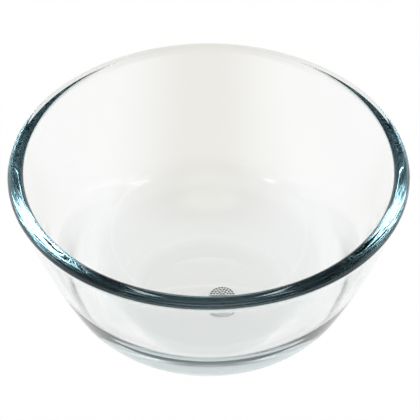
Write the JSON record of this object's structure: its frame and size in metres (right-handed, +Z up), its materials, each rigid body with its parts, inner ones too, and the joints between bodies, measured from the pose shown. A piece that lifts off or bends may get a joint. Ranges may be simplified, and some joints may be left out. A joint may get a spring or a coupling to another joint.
{
  "type": "glass mixing bowl",
  "caption": "Wide clear glass mixing bowl with a rounded rim bead, a bowed sloping wall, a broad heel and a narrow foot ring, for mixing and serving food.",
  "frame": {"origin": "on the surface that the bowl stands on, at the bowl's axis", "axes": "+Z up along the bowl's axis, +X from the axis towards the middle of the stippled patch under the base"},
  "size_m": [0.24, 0.24, 0.113],
  "materials": {
    "glass": "clear pressed glass, fire polished, with a blue-green tint that shows where the glass is seen edge on"
  },
  "bodies": {
    "root": {"bowl": "glass"}
  },
  "joints": []
}
